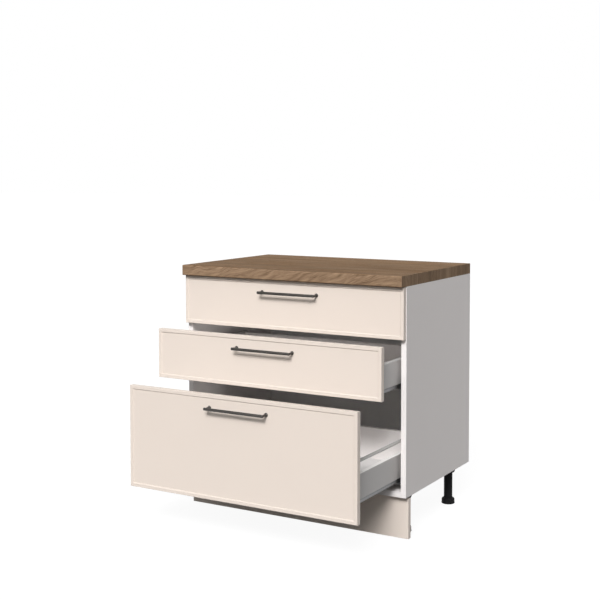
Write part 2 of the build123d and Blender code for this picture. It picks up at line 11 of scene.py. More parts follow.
import bmesh
import bpy
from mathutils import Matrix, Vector


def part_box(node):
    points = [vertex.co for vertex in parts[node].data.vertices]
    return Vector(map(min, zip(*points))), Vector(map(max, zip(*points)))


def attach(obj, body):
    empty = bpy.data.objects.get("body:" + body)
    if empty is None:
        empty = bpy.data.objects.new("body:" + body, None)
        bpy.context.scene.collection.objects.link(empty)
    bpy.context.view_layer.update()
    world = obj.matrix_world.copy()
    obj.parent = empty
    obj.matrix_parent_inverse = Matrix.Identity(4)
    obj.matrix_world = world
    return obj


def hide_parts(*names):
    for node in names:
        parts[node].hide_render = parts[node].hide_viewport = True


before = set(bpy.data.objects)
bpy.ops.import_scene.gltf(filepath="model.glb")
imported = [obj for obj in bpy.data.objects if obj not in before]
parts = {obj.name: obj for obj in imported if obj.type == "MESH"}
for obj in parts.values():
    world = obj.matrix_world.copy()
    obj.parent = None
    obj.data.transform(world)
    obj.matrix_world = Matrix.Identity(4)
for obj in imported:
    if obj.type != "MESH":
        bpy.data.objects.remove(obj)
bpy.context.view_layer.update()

# %% [markdown]
# ## The camera
#
# The picture was taken from the front and right, slightly above the worktop, with a fairly long
# lens. A camera in Blender looks along its own minus Z, so it is first turned up by a quarter
# turn, less the small angle it looks down, and then turned about the vertical. The cabinet sits
# low in the picture while the verticals stay upright. A photographer gets that by shifting the
# lens, and so does Blender, with shift_y. Tilting the camera further would lean the verticals.

# %% Camera
camera_data = bpy.data.cameras.new("camera")
camera_data.sensor_width = 36.0
camera_data.lens = 68.1
camera_data.shift_x = -0.01456
camera_data.shift_y = -0.12
camera = bpy.data.objects.new("camera", camera_data)
look_down = 0.05228
turn_left = 0.52469
camera.rotation_euler = (math.pi / 2 - look_down, 0.0, turn_left)
camera.location = (2.0631, -3.5333, 1.2652)
bpy.context.scene.collection.objects.link(camera)
bpy.context.scene.camera = camera
print("camera height", round(camera.location.z, 2), "m, lens", camera_data.lens, "mm")

# %% [markdown]
# ## Colours as numbers
#
# Screens show colours on a curve, and shaders compute with straight, linear amounts of light.
# Colours in this lesson are written as they would be picked from a screen, 0 to 255, and
# one small helper turns them into linear amounts.


# %% Screen colour to linear colour
def screen_color(red, green, blue):
    """A colour picked on screen, 0 to 255, as the linear values that a shader needs."""
    linear = []
    for value in (red, green, blue):
        share = value / 255
        linear.append(share / 12.92 if share <= 0.04045 else ((share + 0.055) / 1.055) ** 2.4)
    return (*linear, 1.0)


cream = screen_color(236, 223, 212)
print("cream on screen 236 223 212 is", [round(value, 3) for value in cream])

# %% [markdown]
# ## Writing shader nodes in code
#
# Every finish is a small network of nodes. Adding a node, setting its numbers and wiring its
# inputs takes many lines when it is written out, so one helper does it: an input gets either a
# number or the output of another node. Four more wrap the nodes that are used the most: a step
# of arithmetic, a blend of two colours, a stretched range and a noise.


# %% Node helpers
def add_node(tree, kind, inputs=None, **settings):
    """Add a shader node; each input gets a value, or is wired to another node's output."""
    node = tree.nodes.new("ShaderNode" + kind)
    for name, value in settings.items():
        setattr(node, name, value)
    for name, value in (inputs or {}).items():
        if isinstance(value, bpy.types.NodeSocket):
            tree.links.new(value, node.inputs[name])
        else:
            node.inputs[name].default_value = value
    return node


def calc(tree, operation, first, second=0.0, third=0.0):
    """One step of arithmetic on values that vary over the surface."""
    node = add_node(tree, "Math", {0: first, 1: second, 2: third}, operation=operation)
    return node.outputs[0]


def blend_colors(tree, amount, low, high):
    """Blend from one colour to another by an amount between 0 and 1."""
    node = add_node(tree, "Mix", {0: amount, 6: low, 7: high}, data_type="RGBA")
    return node.outputs[2]


def remap(tree, value, low, high):
    """Stretch the range from low to high to the range from 0 to 1, and clamp it there."""
    return add_node(tree, "MapRange", {"Value": value, 1: low, 2: high}).outputs[0]


def noise(tree, place, scale, detail=2.0, roughness=0.5, distortion=0.0):
    """Soft random mottling; the scale is how many patches fit in a metre."""
    inputs = {
        "Vector": place,
        "Scale": scale,
        "Detail": detail,
        "Roughness": roughness,
        "Distortion": distortion,
    }
    return add_node(tree, "TexNoise", inputs).outputs[0]


print("helpers for nodes, arithmetic, blends, ranges and noise are ready")

# %% [markdown]
# ## Groups: one effect, many finishes
#
# Fine mottling, worn edges, settled dust, wood grain and raw chipboard each appear in several
# finishes. Blender can store such an effect as a node group with named inputs and outputs. It is
# built once, and each material places it with its own values. The group only puts out colours
# and values that vary over the surface; the shader stays in the material.


# %% Group helper
def new_group(name, inputs, outputs):
    """An empty shader node group with named sockets, and the values that come into it."""
    group = bpy.data.node_groups.new(name, "ShaderNodeTree")
    for way, sockets in (("INPUT", inputs), ("OUTPUT", outputs)):
        for socket_name, kind, *value in sockets:
            socket = group.interface.new_socket(
                name=socket_name, in_out=way, socket_type="NodeSocket" + kind
            )
            if value:
                socket.default_value = value[0]
    return group, group.nodes.new("NodeGroupInput").outputs


def put_out(group, **results):
    """Wire the results to the group's outputs; underscores in names stand for spaces."""
    way_out = group.nodes.new("NodeGroupOutput")
    for name, source in results.items():
        group.links.new(source, way_out.inputs[name.replace("_", " ")])
    print("group", group.name, "with", len(group.nodes), "nodes")


# %% [markdown]
# ### Fine texture
#
# Lacquer, melamine, powder coat and moulded plastic are never one flat colour. Up close they
# have a fine grain that catches the light, and over a hand's width their tone drifts by a
# percent or two. The group makes both from noise at two sizes: the fine one gives a height for
# the bump and a small change in roughness, the broad one moves the colour a little.

# %% Group: fine texture
fine_texture, given = new_group(
    "fine_texture",
    [
        ("Color", "Color", (0.8, 0.8, 0.8, 1.0)),
        ("Place", "Vector"),
        ("Grain per Metre", "Float", 500.0),
        ("Tone Drift", "Float", 0.03),
        ("Roughness", "Float", 0.4),
        ("Roughness Drift", "Float", 0.1),
    ],
    [("Color", "Color"), ("Roughness", "Float"), ("Height", "Float")],
)
patches_per_metre = 5.0
grain = noise(fine_texture, given["Place"], given["Grain per Metre"], 2.0)
broad = noise(fine_texture, given["Place"], patches_per_metre, 3.0, 0.6)
drift = calc(fine_texture, "MULTIPLY", calc(fine_texture, "SUBTRACT", broad, 0.5), 2.0)
drift = calc(fine_texture, "MULTIPLY_ADD", drift, given["Tone Drift"], 1.0)
drifted = add_node(
    fine_texture, "VectorMath", {0: given["Color"], "Scale": drift}, operation="SCALE"
)
uneven = calc(fine_texture, "ADD", calc(fine_texture, "MULTIPLY", grain, 0.5), broad)
mean_of_both = 0.75
uneven = calc(fine_texture, "SUBTRACT", uneven, mean_of_both)
rough = calc(
    fine_texture, "MULTIPLY_ADD", uneven, given["Roughness Drift"], given["Roughness"]
)
put_out(fine_texture, Color=drifted.outputs[0], Roughness=rough, Height=grain)

# %% [markdown]
# ### Worn edges
#
# Hands and cloths polish the edges of painted and moulded parts first. The Bevel node gives the
# surface direction as if every edge were rounded. Where it differs from the true direction,
# there is an edge. A noise breaks the line up, so that it looks handled and not outlined.

# %% Group: worn edges
worn_edges, given = new_group(
    "worn_edges",
    [("Place", "Vector"), ("Edge Radius", "Float", 0.001)],
    [("Wear", "Float")],
)
rounded = add_node(worn_edges, "Bevel", {"Radius": given["Edge Radius"]}, samples=4)
true_face = add_node(worn_edges, "NewGeometry")
agreement = add_node(
    worn_edges,
    "VectorMath",
    {0: rounded.outputs[0], 1: true_face.outputs["Normal"]},
    operation="DOT_PRODUCT",
).outputs["Value"]
edge = remap(worn_edges, agreement, 0.995, 0.8)
patches = remap(worn_edges, noise(worn_edges, given["Place"], 60.0, 3.0), 0.35, 0.65)
put_out(worn_edges, Wear=calc(worn_edges, "MULTIPLY", edge, patches))

# %% [markdown]
# ### Settled dust
#
# Dust lies on what faces up, thinly and unevenly. The direction of the surface gives the mask,
# and noise at the size of a wiped patch breaks it up. It is kept faint: this is a new cabinet.

# %% Group: settled dust
settled_dust, given = new_group(
    "settled_dust",
    [("Place", "Vector"), ("Amount", "Float", 0.1)],
    [("Dust", "Float")],
)
true_face = add_node(settled_dust, "NewGeometry")
upward = add_node(settled_dust, "SeparateXYZ", {0: true_face.outputs["Normal"]}).outputs["Z"]
lies = remap(settled_dust, upward, 0.6, 1.0)
wiped = remap(settled_dust, noise(settled_dust, given["Place"], 14.0, 4.0, 0.65), 0.4, 0.7)
film = calc(settled_dust, "MULTIPLY", lies, wiped)
put_out(settled_dust, Dust=calc(settled_dust, "MULTIPLY", film, given["Amount"]))

# %% [markdown]
# ### Which way a board faces
#
# A melamine board is white on its faces and shows raw chipboard where it was only sawn. The
# object's own surface direction tells rear edges and undersides from the rest. It also picks
# out what looks to the front or up, for the worktop's front edge, and for the narrow ledges and
# rims that get painted shade or a painted highlight. It is the object's direction and not the
# world's, so the marks stay put when a drawer moves.

# %% Group: which way a face looks
board_facing, _ = new_group(
    "board_facing",
    [],
    [("Rear", "Float"), ("Underside", "Float"), ("Front", "Float"), ("Upward", "Float")],
)
own_normal = add_node(board_facing, "TexCoord").outputs["Normal"]
direction = add_node(board_facing, "SeparateXYZ", {0: own_normal}).outputs
put_out(
    board_facing,
    Rear=calc(board_facing, "GREATER_THAN", direction["Y"], 0.9),
    Underside=calc(board_facing, "LESS_THAN", direction["Z"], -0.9),
    Front=calc(board_facing, "LESS_THAN", direction["Y"], -0.7),
    Upward=remap(board_facing, direction["Z"], 0.35, 0.6),
)

# %% [markdown]
# ### Raw chipboard
#
# Sawn chipboard shows flat chips of many browns, pressed and glued. Voronoi cells, stretched
# along the board, give the chips. Each cell's random colour picks its tone, and the distance to
# the cell's middle gives a rough little relief.

# %% Group: raw chipboard
raw_chipboard, given = new_group(
    "raw_chipboard",
    [("Place", "Vector"), ("Chips per Metre", "Float", 320.0)],
    [("Color", "Color"), ("Height", "Float")],
)
flat_chips = (0.45, 0.45, 1.0)
stretched = add_node(
    raw_chipboard, "Mapping", {"Vector": given["Place"], "Scale": flat_chips}
).outputs[0]
chips = add_node(
    raw_chipboard, "TexVoronoi", {"Vector": stretched, "Scale": given["Chips per Metre"]}
).outputs
tone = add_node(raw_chipboard, "SeparateColor", {0: chips["Color"]}).outputs[0]
chip_color = blend_colors(
    raw_chipboard, tone, screen_color(138, 108, 78), screen_color(205, 176, 136)
)
dark_gaps = remap(raw_chipboard, chips["Distance"], 0.4, 0.9)
chip_color = blend_colors(raw_chipboard, dark_gaps, chip_color, screen_color(96, 72, 50))
put_out(raw_chipboard, Color=chip_color, Height=chips["Distance"])

# %% [markdown]
# ### Wood grain
#
# The worktop is a laminate printed like walnut-brown oak, and the dowels are beech. Both come
# from one group, which works from two measures, along the grain and across it. The board is
# split into planks, each cut from another place of the same noise. Slant lets the grain lean,
# more in some places and less in others, by a slow sway along the board.

# %% Group: wood grain
wood_grain, given = new_group(
    "wood_grain",
    [
        ("Along", "Float", 0.0),
        ("Across", "Float", 0.0),
        ("Plank Width", "Float", 0.19),
        ("Ring Count", "Float", 13.0),
        ("Slant", "Float", 0.0),
        ("Curl", "Float", 0.0),
        ("Light Wood", "Color", (0.5, 0.35, 0.2, 1.0)),
        ("Dark Wood", "Color", (0.2, 0.12, 0.08, 1.0)),
    ],
    [("Color", "Color"), ("Pores", "Float"), ("Height", "Float")],
)


def grain_place(x, y, z=0.0):
    """A place in the noise, from three values that vary over the board."""
    return add_node(wood_grain, "CombineXYZ", {"X": x, "Y": y, "Z": z}).outputs[0]


plank = calc(wood_grain, "DIVIDE", given["Across"], given["Plank Width"])
plank = calc(wood_grain, "FLOOR", plank)
chance = add_node(wood_grain, "TexWhiteNoise", {"W": plank}, noise_dimensions="1D").outputs[0]
plank_shift, plank_depth = 7.3, 11.0  # each plank is cut somewhere else in the noise
along = calc(wood_grain, "MULTIPLY_ADD", chance, plank_shift, given["Along"])
sways_per_metre, sway_reach = 5.0, 0.26
sway = grain_place(calc(wood_grain, "MULTIPLY", given["Along"], sways_per_metre), 0.0)
sway = noise(wood_grain, sway, 1.0, 2.0)
sway = calc(wood_grain, "MULTIPLY_ADD", sway, sway_reach, given["Along"])
leaning = calc(wood_grain, "MULTIPLY_ADD", sway, given["Slant"], given["Across"])


def streaky_noise(per_metre_along, per_metre_across, detail=2.0, roughness=0.5):
    """Noise that is stretched along the grain, and different on each plank."""
    place = grain_place(
        calc(wood_grain, "MULTIPLY", along, per_metre_along),
        calc(wood_grain, "MULTIPLY", leaning, per_metre_across),
        calc(wood_grain, "MULTIPLY", chance, plank_depth),
    )
    return noise(wood_grain, place, 1.0, detail, roughness)


print("places for", wood_grain.name, "are ready")


# %% [markdown]
# Growth rings on a sawn board are the contour lines of a smooth hilly field that is stretched
# along the trunk: close to each other they run as straight grain, and where they turn back they
# make the tall arches that are called cathedrals. So the rings are the sine of a stretched
# noise. Streaks, fibres and short dark pores are finer noises, stretched much more, and Curl
# adds short bent strokes. All are added up by their weights into one darkness, which blends
# the light wood to the dark.

# %% Rings, streaks, fibres, pores and curls
slope = 7.0  # the field also rises across the board, so that the rings follow each other
field = calc(wood_grain, "MULTIPLY_ADD", leaning, slope, streaky_noise(4.5, 12.0, 2.0, 0.4))
turns = calc(wood_grain, "MULTIPLY", field, given["Ring Count"])
turns = calc(wood_grain, "MULTIPLY", turns, 2 * math.pi)
rings = calc(wood_grain, "MULTIPLY_ADD", calc(wood_grain, "SINE", turns), 0.5, 0.5)
streaks = streaky_noise(3.0, 130.0, 3.0, 0.6)
broad_streaks = streaky_noise(2.2, 26.0)
fibres = streaky_noise(16.0, 900.0)
pores = remap(wood_grain, streaky_noise(55.0, 800.0, 1.0), 0.6, 0.72)
curls_along, curls_across, curl_lean = 24.0, 40.0, 2.2
crossing = calc(wood_grain, "MULTIPLY_ADD", leaning, curl_lean, along)
bent_place = grain_place(
    calc(wood_grain, "MULTIPLY", crossing, curls_along),
    calc(wood_grain, "MULTIPLY", leaning, curls_across),
)
curls = noise(wood_grain, bent_place, 1.0, 3.0, 0.7, 0.6)
curls = calc(wood_grain, "SUBTRACT", curls, 0.5)
darkness = calc(wood_grain, "MULTIPLY", curls, given["Curl"])
layers = [
    (rings, 0.12),
    (broad_streaks, 0.5),
    (streaks, 0.6),
    (fibres, 0.3),
    (chance, 0.16),
    (pores, 0.18),
]
for layer, weight in layers:
    darkness = calc(wood_grain, "MULTIPLY_ADD", layer, weight, darkness)
darkness = remap(wood_grain, darkness, 0.5, 1.2)
grained = blend_colors(wood_grain, darkness, given["Light Wood"], given["Dark Wood"])
relief = calc(wood_grain, "SUBTRACT", fibres, pores)
put_out(wood_grain, Color=grained, Pores=pores, Height=relief)

# %% [markdown]
# ## Finishes
#
# Each finish is a material with one Principled shader. These helpers start a material, place
# a group in it, and wire colour, roughness and relief to the shader. The place on the part
# comes from the object's own coordinates, in metres, because the parts carry no texture map.


# %% Material helpers
def new_finish(name):
    """A material with a Principled shader: the material, its tree, the shader and the place."""
    material = bpy.data.materials.new(name)
    material.use_nodes = True
    tree = material.node_tree
    tree.nodes.clear()
    output = add_node(tree, "OutputMaterial")
    shader = add_node(tree, "BsdfPrincipled")
    tree.links.new(shader.outputs[0], output.inputs[0])
    place = add_node(tree, "TexCoord").outputs["Object"]
    return material, tree, shader, place


def place_group(tree, group, **values):
    """What a group puts out in a material; underscores in names stand for spaces."""
    inputs = {name.replace("_", " "): value for name, value in values.items()}
    return add_node(tree, "Group", inputs, node_tree=group).outputs


def fine_surface(tree, place, color, grain, drift, rough, rough_drift):
    """The fine texture of a finish, with its grain in spots per metre."""
    return place_group(
        tree,
        fine_texture,
        Color=color,
        Place=place,
        Grain_per_Metre=grain,
        Tone_Drift=drift,
        Roughness=rough,
        Roughness_Drift=rough_drift,
    )


def feed(tree, shader, color, rough, height, depth, shine=0.5):
    """Wire a finish to its shader, with a relief that is up to depth metres deep."""
    bump = add_node(tree, "Bump", {"Height": height, "Distance": depth}).outputs[0]
    for name, source in (("Base Color", color), ("Roughness", rough), ("Normal", bump)):
        tree.links.new(source, shader.inputs[name])
    shader.inputs["Specular IOR Level"].default_value = shine


finishes = {}


def keep(slot, material):
    """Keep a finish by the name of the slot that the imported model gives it."""
    finishes[slot] = material
    print("made", material.name, "for the slot", slot)


print("helpers for finishes are ready")

# %% [markdown]
# ### Cream lacquer
#
# Fronts and plinth are sprayed with a satin lacquer. It levels out before it dries, but keeps a
# very shallow waviness of a few millimetres, the orange peel. Edges shine a little more where
# they are handled, and a trace of dust lies on the upper edges. The narrow ledges that look up
# are painted greyer, in the dust's grey, as painted shade. The backs of the fronts are plain
# white.

# %% Cream lacquer
material, tree, shader, place = new_finish("cream_lacquer")
surface = fine_surface(tree, place, cream, grain=260.0, drift=0.012, rough=0.42, rough_drift=0.12)
wear = place_group(tree, worn_edges, Place=place, Edge_Radius=0.0012)["Wear"]
dust = place_group(tree, settled_dust, Place=place, Amount=0.12)["Dust"]
facing = place_group(tree, board_facing)
rubbed_share, painted_ledge_shade_share = 0.25, 0.29
# grey of the dust, used again below for the painted shade on the ledges
dusty = screen_color(190, 184, 176)
rubbed = calc(tree, "MULTIPLY", wear, rubbed_share)
# painted shade: the narrow ledges that look up are blended toward the dust grey
painted_ledge_shade = calc(tree, "MULTIPLY", facing["Upward"], painted_ledge_shade_share)
color = blend_colors(tree, rubbed, surface["Color"], screen_color(240, 230, 219))
color = blend_colors(tree, dust, color, dusty)
color = blend_colors(tree, painted_ledge_shade, color, dusty)
color = blend_colors(tree, facing["Rear"], color, screen_color(244, 242, 240))
rough = calc(tree, "MULTIPLY_ADD", wear, -0.1, surface["Roughness"])
feed(tree, shader, color, rough, surface["Height"], depth=0.00012, shine=0.3)
keep("front_lacquer", material)

# %% [markdown]
# ### White melamine board
#
# The carcass is chipboard faced with white melamine paper, pressed with a fine pearl texture.
# The front edges carry a thin plastic band, and a hairline shows where the band meets the
# face. The rear edges are only sawn. The upright sides also show raw board below. The drawer
# bases have no band and are a little greyer, partly as painted shade that darkens the drawer
# floors. So one function makes all three boards, and is told the colour, whether the underside
# is raw, and where the bands are.


# %% White melamine board
def melamine_board(name, face_color, raw_underside, band_places):
    """A faced board; band_places are the places along Y where an edge band meets the face."""
    material, tree, shader, place = new_finish(name)
    surface = fine_surface(
        tree, place, face_color, grain=1100.0, drift=0.008, rough=0.48, rough_drift=0.12
    )
    chip = place_group(tree, raw_chipboard, Place=place)
    facing = place_group(tree, board_facing)
    raw = facing["Rear"]
    if raw_underside:
        raw = calc(tree, "MAXIMUM", raw, facing["Underside"])
    along_depth = add_node(tree, "SeparateXYZ", {0: place}).outputs["Y"]
    color = surface["Color"]
    for seam in band_places:
        line = calc(tree, "COMPARE", along_depth, seam, seam_half_width)
        line = calc(tree, "MULTIPLY", line, 0.5)
        color = blend_colors(tree, line, color, screen_color(150, 146, 140))
    dust = place_group(tree, settled_dust, Place=place, Amount=0.1)["Dust"]
    color = blend_colors(tree, dust, color, screen_color(196, 192, 186))
    color = blend_colors(tree, raw, color, chip["Color"])
    rough = calc(tree, "MULTIPLY_ADD", raw, 0.4, surface["Roughness"])
    chip_height = calc(tree, "MULTIPLY", chip["Height"], raw)
    height = calc(tree, "MULTIPLY_ADD", chip_height, chip_relief, surface["Height"])
    feed(tree, shader, color, rough, height, depth=0.00004, shine=0.2)
    print("made", material.name)
    return material


band_thickness = 0.0008
seam_half_width = 0.00015
chip_relief = 6.0  # times as deep as the pearl texture
carcass_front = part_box("side_panel_right")[0].y
seams = [carcass_front + band_thickness]
white_face = screen_color(248, 243, 241)
side_board = melamine_board("white_board_upright", white_face, True, seams)
flat_board = melamine_board("white_board_flat", white_face, False, seams)
# the drawer bases are painted greyer, partly as painted shade on the drawer floors
drawer_board_partly_painted_shade = melamine_board("pale_grey_drawer_board_painted_shade", screen_color(238, 236, 235), False, [])
keep("white_melamine", flat_board)

# %% [markdown]
# ### Back board
#
# The back is a thin fibreboard, painted white on the side that is seen from the front and left
# raw behind. Raw fibreboard is an even brown felt of fibres, with a faint sheen from pressing.

# %% Back board
material, tree, shader, place = new_finish("back_board_painted")
paint, felt_brown = screen_color(249, 249, 248), screen_color(150, 118, 88)
painted = fine_surface(tree, place, paint, grain=700.0, drift=0.01, rough=0.5, rough_drift=0.1)
felt = fine_surface(tree, place, felt_brown, grain=420.0, drift=0.1, rough=0.72, rough_drift=0.3)
specks = remap(tree, noise(tree, place, 900.0, 2.0, 0.7), 0.5, 0.75)
felt_color = blend_colors(tree, specks, felt["Color"], screen_color(112, 84, 60))
behind = place_group(tree, board_facing)["Rear"]
color = blend_colors(tree, behind, painted["Color"], felt_color)
rough = calc(tree, "MULTIPLY_ADD", behind, 0.22, painted["Roughness"])
height = calc(tree, "MULTIPLY_ADD", behind, felt["Height"], painted["Height"])
feed(tree, shader, color, rough, height, depth=0.00008, shine=0.35)
keep("back_board", material)

# %% [markdown]
# ### Worktop laminate and its end strips
#
# The worktop's laminate runs over the top and round the front edge in one sheet, with the grain
# along the cabinet. The measure across the grain is therefore depth less height, which has no
# jump at the rounded edge. The print on the top changes slowly between two browns, one of them
# redder. On the front edge it is lighter, and its strokes lean and curl. The rear is sawn
# chipboard, and the underside has a plain brown balancing paper. The ends are closed with a
# strip whose print runs upright. The laminate is so matt that it has next to no shine.

# %% Worktop laminate
matt_shine = 0.012
laminate_relief = 0.00008
material, tree, shader, place = new_finish("worktop_wood_laminate")
axes = add_node(tree, "SeparateXYZ", {0: place}).outputs
round_the_edge = calc(tree, "SUBTRACT", axes["Y"], axes["Z"])
front_slant, front_curl = 0.26, 0.58
reds_along, reds_across = 3.0, 14.0  # patches of redder brown in a metre
slow_along = calc(tree, "MULTIPLY", axes["X"], reds_along)
slow_across = calc(tree, "MULTIPLY", round_the_edge, reds_across)
slow_place = add_node(tree, "CombineXYZ", {"X": slow_along, "Y": slow_across}).outputs[0]
redness = remap(tree, noise(tree, slow_place, 1.0, 2.0, 0.6), 0.38, 0.62)
facing = place_group(tree, board_facing)
front = facing["Front"]
light_top = blend_colors(tree, redness, screen_color(157, 131, 105), screen_color(156, 125, 95))
dark_top = screen_color(79, 60, 43)
wood = place_group(
    tree,
    wood_grain,
    Along=axes["X"],
    Across=round_the_edge,
    Slant=calc(tree, "MULTIPLY", front, front_slant),
    Curl=calc(tree, "MULTIPLY", front, front_curl),
    Light_Wood=blend_colors(tree, front, light_top, screen_color(185, 155, 126)),
    Dark_Wood=blend_colors(tree, front, dark_top, screen_color(98, 76, 58)),
)
chip = place_group(tree, raw_chipboard, Place=place)
dust = place_group(tree, settled_dust, Place=place, Amount=0.02)["Dust"]
color = blend_colors(tree, dust, wood["Color"], screen_color(176, 166, 154))
mottle = noise(tree, place, 240.0, 3.0)
paper = blend_colors(tree, mottle, screen_color(120, 92, 66), screen_color(138, 108, 80))
color = blend_colors(tree, facing["Underside"], color, paper)
color = blend_colors(tree, facing["Rear"], color, chip["Color"])
rough = calc(tree, "MULTIPLY_ADD", wood["Pores"], 0.18, 0.68)
rough = calc(tree, "MULTIPLY_ADD", facing["Rear"], 0.3, rough)
feed(tree, shader, color, rough, wood["Height"], laminate_relief, matt_shine)
keep("worktop_laminate", material)

# %% Worktop end strips
material, tree, shader, place = new_finish("worktop_end_strip")
axes = add_node(tree, "SeparateXYZ", {0: place}).outputs
wood = place_group(
    tree,
    wood_grain,
    Along=axes["Z"],
    Across=axes["Y"],
    Plank_Width=0.17,
    Ring_Count=14.0,
    Light_Wood=screen_color(180, 153, 127),
    Dark_Wood=screen_color(101, 83, 67),
)
rough = calc(tree, "MULTIPLY_ADD", wood["Pores"], 0.18, 0.68)
feed(tree, shader, wood["Color"], rough, wood["Height"], laminate_relief, matt_shine)
keep("worktop_edge", material)

# %% [markdown]
# ### Beech dowels
#
# The same grain, in pale beech, whose short dark flecks are its mark. A dowel is turned along
# the grain, and lies across the cabinet.

# %% Beech
material, tree, shader, place = new_finish("bare_beech")
axes = add_node(tree, "SeparateXYZ", {0: place}).outputs
wood = place_group(
    tree,
    wood_grain,
    Along=axes["X"],
    Across=calc(tree, "ADD", axes["Y"], axes["Z"]),
    Plank_Width=1.0,
    Ring_Count=30.0,
    Light_Wood=screen_color(226, 196, 156),
    Dark_Wood=screen_color(190, 152, 110),
)
rough = calc(tree, "MULTIPLY_ADD", wood["Pores"], 0.2, 0.6)
feed(tree, shader, wood["Color"], rough, wood["Height"], depth=0.00005)
keep("beech", material)

# %% [markdown]
# ### Metals
#
# Bare metal has no colour of its own under its shine, so Metallic is 1 and the base colour is
# what it reflects. Galvanised sheet is covered with flat crystals, the spangle: Voronoi cells
# whose random tone changes brightness and roughness. The runners also have fine lengthwise
# marks from the rolling mill. Zinc plating on the screws is finer and brighter.

# %% Galvanised steel
material, tree, shader, place = new_finish("galvanised_sheet")
spangle = add_node(tree, "TexVoronoi", {"Vector": place, "Scale": 190.0}).outputs["Color"]
crystal = add_node(tree, "SeparateColor", {0: spangle}).outputs[0]
rolled = add_node(tree, "Mapping", {"Vector": place, "Scale": (900.0, 14.0, 900.0)}).outputs[0]
marks = noise(tree, rolled, 1.0, 2.0)
color = blend_colors(tree, crystal, (0.18, 0.181, 0.184, 1.0), (0.26, 0.261, 0.264, 1.0))
rough = calc(tree, "MULTIPLY_ADD", crystal, 0.14, 0.38)
rough = calc(tree, "MULTIPLY_ADD", marks, 0.1, rough)
shader.inputs["Metallic"].default_value = 1.0
feed(tree, shader, color, rough, marks, depth=0.00002)
keep("galvanised_steel", material)

# %% Zinc plating
material, tree, shader, place = new_finish("zinc_plating")
bright_zinc = (0.66, 0.66, 0.68, 1.0)
surface = fine_surface(
    tree, place, bright_zinc, grain=1500.0, drift=0.12, rough=0.3, rough_drift=0.25
)
shader.inputs["Metallic"].default_value = 1.0
feed(tree, shader, surface["Color"], surface["Roughness"], surface["Height"], depth=0.00003)
keep("zinc", material)

# %% [markdown]
# ### Powder-coated steel
#
# The drawer sides are sheet steel under a thin grey powder coat, so they are painted and not
# metallic. Their narrow upper rims look up, and are matt here: a shiny rim would mirror the dark
# inside of the cabinet. The rims take a colour of their own, which is painted light: on the
# lowest drawer they are painted almost white, a painted highlight, and on the others a darker
# grey, painted shade. So one function makes the coating, and it is made twice, as a lit and a
# shaded copy.


# %% Powder-coated steel
def coated_steel(name, face_color, rim_painted_lighting_color):
    """Light grey coating; the surfaces that look up take a colour of their own, painted light on
    the rims.
    """
    material, tree, shader, place = new_finish(name)
    surface = fine_surface(
        tree, place, face_color, grain=800.0, drift=0.01, rough=0.22, rough_drift=0.1
    )
    # painted light: the surfaces that look up take the rim colour in place of their shading
    rim_mask_for_painted_light = place_group(tree, board_facing)["Upward"]
    color = blend_colors(tree, rim_mask_for_painted_light, surface["Color"], rim_painted_lighting_color)
    rough = calc(tree, "MULTIPLY_ADD", rim_mask_for_painted_light, 0.6, surface["Roughness"])
    feed(tree, shader, color, rough, surface["Height"], depth=0.00005, shine=0.25)
    print("made", material.name)
    return material


# drawers 1 and 2: rims painted darker grey as painted shade; lowest drawer: rims painted near
# white as a painted highlight
steel_rim_painted_shade = coated_steel(
    "coated_drawer_steel_rim_painted_shade", screen_color(204, 201, 199), screen_color(182, 180, 178)
)
steel_rim_painted_highlight = coated_steel(
    "coated_steel_rim_painted_highlight", screen_color(196, 193, 191), screen_color(253, 251, 248)
)
keep("coated_steel", steel_rim_painted_shade)

# %% [markdown]
# ### Handle metal
#
# The handles are gunmetal: a dark, warm grey metal with a satin brushing along the bar. Long
# thin noise makes the brushing, and the edges are rubbed a little brighter.

# %% Gunmetal
material, tree, shader, place = new_finish("gunmetal_handle")
brushed = add_node(tree, "Mapping", {"Vector": place, "Scale": (30.0, 1400.0, 1400.0)})
strokes = noise(tree, brushed.outputs[0], 1.0, 3.0, 0.6)
wear = place_group(tree, worn_edges, Place=place, Edge_Radius=0.0008)["Wear"]
rubbed = calc(tree, "MULTIPLY", wear, 0.5)
color = blend_colors(tree, strokes, screen_color(62, 60, 58), screen_color(88, 85, 82))
color = blend_colors(tree, rubbed, color, screen_color(128, 124, 120))
rough = calc(tree, "MULTIPLY_ADD", strokes, 0.2, 0.28)
shader.inputs["Metallic"].default_value = 0.85
feed(tree, shader, color, rough, strokes, depth=0.00002)
keep("handle_metal", material)

# %% [markdown]
# ### Plastics
#
# Legs, clips and tracks are black plastic, moulded with a fine matt texture. The holders of the
# drawer's rails are white plastic, and the runner's sliding pieces are natural nylon,
# which lets a little light in. One function makes them all.


# %% Plastics
def moulded_plastic(name, color, rough, grain, depth, shine, dusty):
    """Moulded plastic with a fine texture, worn edges and a film of dust."""
    material, tree, shader, place = new_finish(name)
    surface = fine_surface(tree, place, color, grain, 0.06, rough, 0.2)
    wear = place_group(tree, worn_edges, Place=place, Edge_Radius=0.0009)["Wear"]
    dust = place_group(tree, settled_dust, Place=place, Amount=dusty)["Dust"]
    tone = blend_colors(tree, dust, surface["Color"], screen_color(150, 146, 140))
    rough = calc(tree, "MULTIPLY_ADD", wear, -0.15, surface["Roughness"])
    feed(tree, shader, tone, rough, surface["Height"], depth, shine)
    return material, shader


